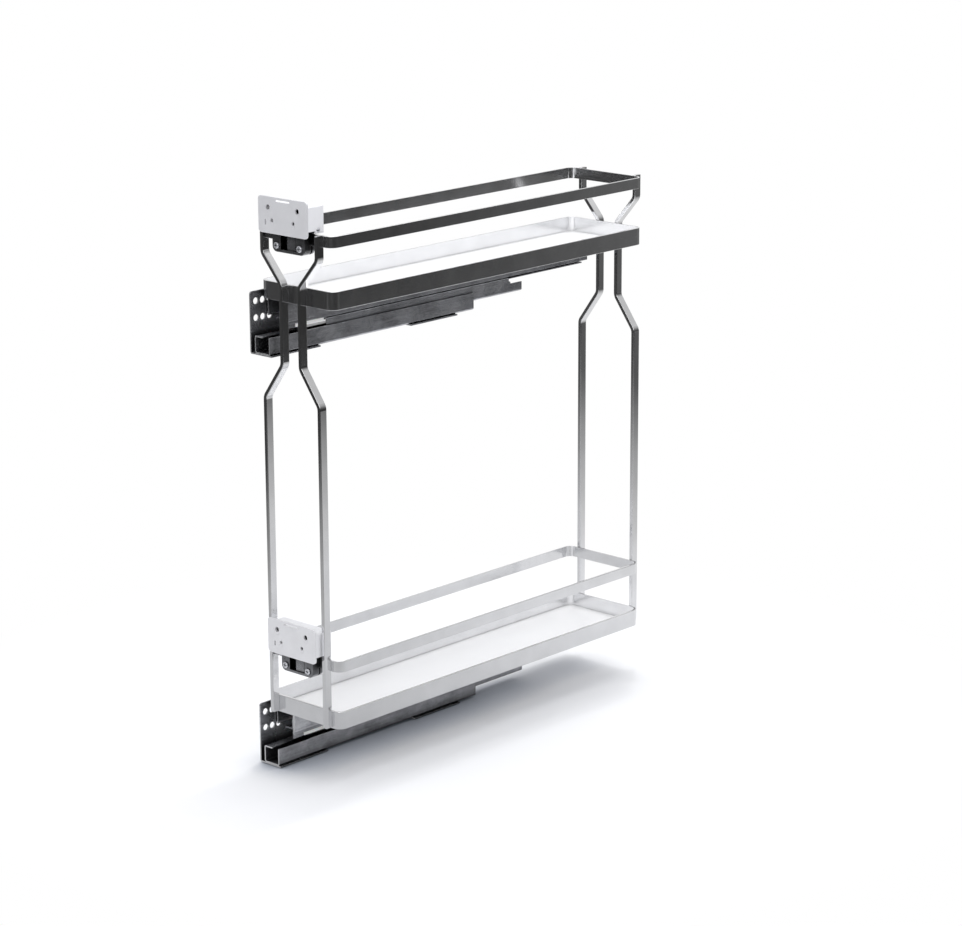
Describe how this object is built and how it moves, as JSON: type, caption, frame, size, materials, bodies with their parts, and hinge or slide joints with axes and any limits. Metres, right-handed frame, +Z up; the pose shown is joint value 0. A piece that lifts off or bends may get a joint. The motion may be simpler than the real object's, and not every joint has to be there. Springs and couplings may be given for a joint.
{
  "type": "pull-out cargo basket",
  "caption": "Narrow pull-out basket for a kitchen base cabinet: tray and rail rings on bent flat-bar posts, side-mounted ball slides and adjustable brackets for the furniture front.",
  "frame": {"origin": "centre of the lower front wall bracket's screw pattern, on the plane of the cabinet's side wall", "axes": "+X from the cabinet's side wall towards the basket, +Z up, -Y the way the basket is pulled out"},
  "size_m": [0.109, 0.5075, 0.6098],
  "materials": {
    "post": "polished chrome plate",
    "ring": "polished chrome plate",
    "floor": "smooth white foil",
    "wall_bracket": "galvanised, satin",
    "slide_profile": "galvanised, satin",
    "rivet": "bright zinc plate",
    "ball_cage": "natural white nylon",
    "ball": "hardened steel, polished",
    "hanger_plate": "bright zinc plate",
    "guide_shoe": "natural white nylon",
    "front_plate": "light grey powder coat",
    "bracket_housing": "light grey, fine grain",
    "clamp": "dark grey, glass filled",
    "screw": "chrome plated",
    "tilt_wedge": "dark grey, glass filled"
  },
  "bodies": {
    "cabinet_rails": {"lower_front_wall_bracket": "wall_bracket", "lower_rear_wall_bracket": "wall_bracket", "lower_cabinet_profile": "slide_profile", "lower_profile_rivets": "rivet", "upper_front_wall_bracket": "wall_bracket", "upper_rear_wall_bracket": "wall_bracket", "upper_cabinet_profile": "slide_profile", "upper_profile_rivets": "rivet"},
    "basket": {"lower_rail": "ring", "lower_tray_rim": "ring", "lower_tray_floor": "floor", "lower_carrier_profile": "slide_profile", "lower_drawer_rail": "slide_profile", "lower_tray_rivets": "rivet", "lower_hanger_plate": "hanger_plate", "lower_guide_shoe": "guide_shoe", "lower_clamp_body": "clamp", "lower_clamp_jaw": "clamp", "lower_clamp_screws": "screw", "lower_tilt_wedge": "tilt_wedge", "upper_rail": "ring", "upper_tray_rim": "ring", "upper_tray_floor": "floor", "upper_carrier_profile": "slide_profile", "upper_drawer_rail": "slide_profile", "upper_tray_rivets": "rivet", "upper_hanger_plate": "hanger_plate", "upper_guide_shoe": "guide_shoe", "upper_clamp_body": "clamp", "upper_clamp_jaw": "clamp", "upper_clamp_screws": "screw", "upper_tilt_wedge": "tilt_wedge", "front_left_post": "post", "front_right_post": "post", "rear_left_post": "post", "rear_right_post": "post"},
    "lower_middle": {"lower_middle_profile": "slide_profile"},
    "lower_lower_balls": {"lower_slide_lower_cage": "ball_cage", "lower_slide_lower_balls": "ball"},
    "lower_upper_balls": {"lower_slide_upper_cage": "ball_cage", "lower_slide_upper_balls": "ball"},
    "lower_height_slide": {"lower_height_slider": "clamp"},
    "lower_front_fixing": {"lower_front_plate": "front_plate", "lower_bracket_housing": "bracket_housing"},
    "lower_cam": {"lower_cam_screw": "screw"},
    "upper_middle": {"upper_middle_profile": "slide_profile"},
    "upper_lower_balls": {"upper_slide_lower_cage": "ball_cage", "upper_slide_lower_balls": "ball"},
    "upper_upper_balls": {"upper_slide_upper_cage": "ball_cage", "upper_slide_upper_balls": "ball"},
    "upper_height_slide": {"upper_height_slider": "clamp"},
    "upper_front_fixing": {"upper_front_plate": "front_plate", "upper_bracket_housing": "bracket_housing"},
    "upper_cam": {"upper_cam_screw": "screw"}
  },
  "joints": [
    {"name": "basket_slide", "type": "slide", "parent": "cabinet_rails", "child": "basket", "axis": [0, -1, 0], "range_m": [0, 0.46]},
    {"name": "lower_middle_slide", "type": "slide", "parent": "cabinet_rails", "child": "lower_middle", "axis": [0, -1, 0], "range_m": [0, 0.23]},
    {"name": "lower_lower_balls_slide", "type": "slide", "parent": "cabinet_rails", "child": "lower_lower_balls", "axis": [0, -1, 0], "range_m": [0, 0.115]},
    {"name": "lower_upper_balls_slide", "type": "slide", "parent": "cabinet_rails", "child": "lower_upper_balls", "axis": [0, -1, 0], "range_m": [0, 0.345]},
    {"name": "lower_height_adjust", "type": "slide", "parent": "basket", "child": "lower_height_slide", "axis": [0, 0, 1], "range_m": [-0.0015, 0.0015]},
    {"name": "lower_side_adjust", "type": "slide", "parent": "lower_height_slide", "child": "lower_front_fixing", "axis": [1, 0, 0], "range_m": [-0.0015, 0.0015]},
    {"name": "lower_cam_turn", "type": "hinge", "parent": "lower_front_fixing", "child": "lower_cam", "pos_m": [0.09, -0.0059, 0.0909], "axis": [1, 0, 0], "range_deg": [-90, 90]},
    {"name": "upper_middle_slide", "type": "slide", "parent": "cabinet_rails", "child": "upper_middle", "axis": [0, -1, 0], "range_m": [0, 0.23]},
    {"name": "upper_lower_balls_slide", "type": "slide", "parent": "cabinet_rails", "child": "upper_lower_balls", "axis": [0, -1, 0], "range_m": [0, 0.115]},
    {"name": "upper_upper_balls_slide", "type": "slide", "parent": "cabinet_rails", "child": "upper_upper_balls", "axis": [0, -1, 0], "range_m": [0, 0.345]},
    {"name": "upper_height_adjust", "type": "slide", "parent": "basket", "child": "upper_height_slide", "axis": [0, 0, 1], "range_m": [-0.0015, 0.0015]},
    {"name": "upper_side_adjust", "type": "slide", "parent": "upper_height_slide", "child": "upper_front_fixing", "axis": [1, 0, 0], "range_m": [-0.0015, 0.0015]},
    {"name": "upper_cam_turn", "type": "hinge", "parent": "upper_front_fixing", "child": "upper_cam", "pos_m": [0.09, -0.0059, 0.5339], "axis": [1, 0, 0], "range_deg": [-90, 90]}
  ],
  "couplings": [
    {"joint": "lower_middle_slide", "follows": "basket_slide", "ratio": 0.5},
    {"joint": "lower_lower_balls_slide", "follows": "basket_slide", "ratio": 0.25},
    {"joint": "lower_upper_balls_slide", "follows": "basket_slide", "ratio": 0.75},
    {"joint": "lower_cam_turn", "follows": "lower_height_adjust", "rad_per_m": 1047},
    {"joint": "upper_middle_slide", "follows": "basket_slide", "ratio": 0.5},
    {"joint": "upper_lower_balls_slide", "follows": "basket_slide", "ratio": 0.25},
    {"joint": "upper_upper_balls_slide", "follows": "basket_slide", "ratio": 0.75},
    {"joint": "upper_cam_turn", "follows": "upper_height_adjust", "rad_per_m": 1047}
  ]
}
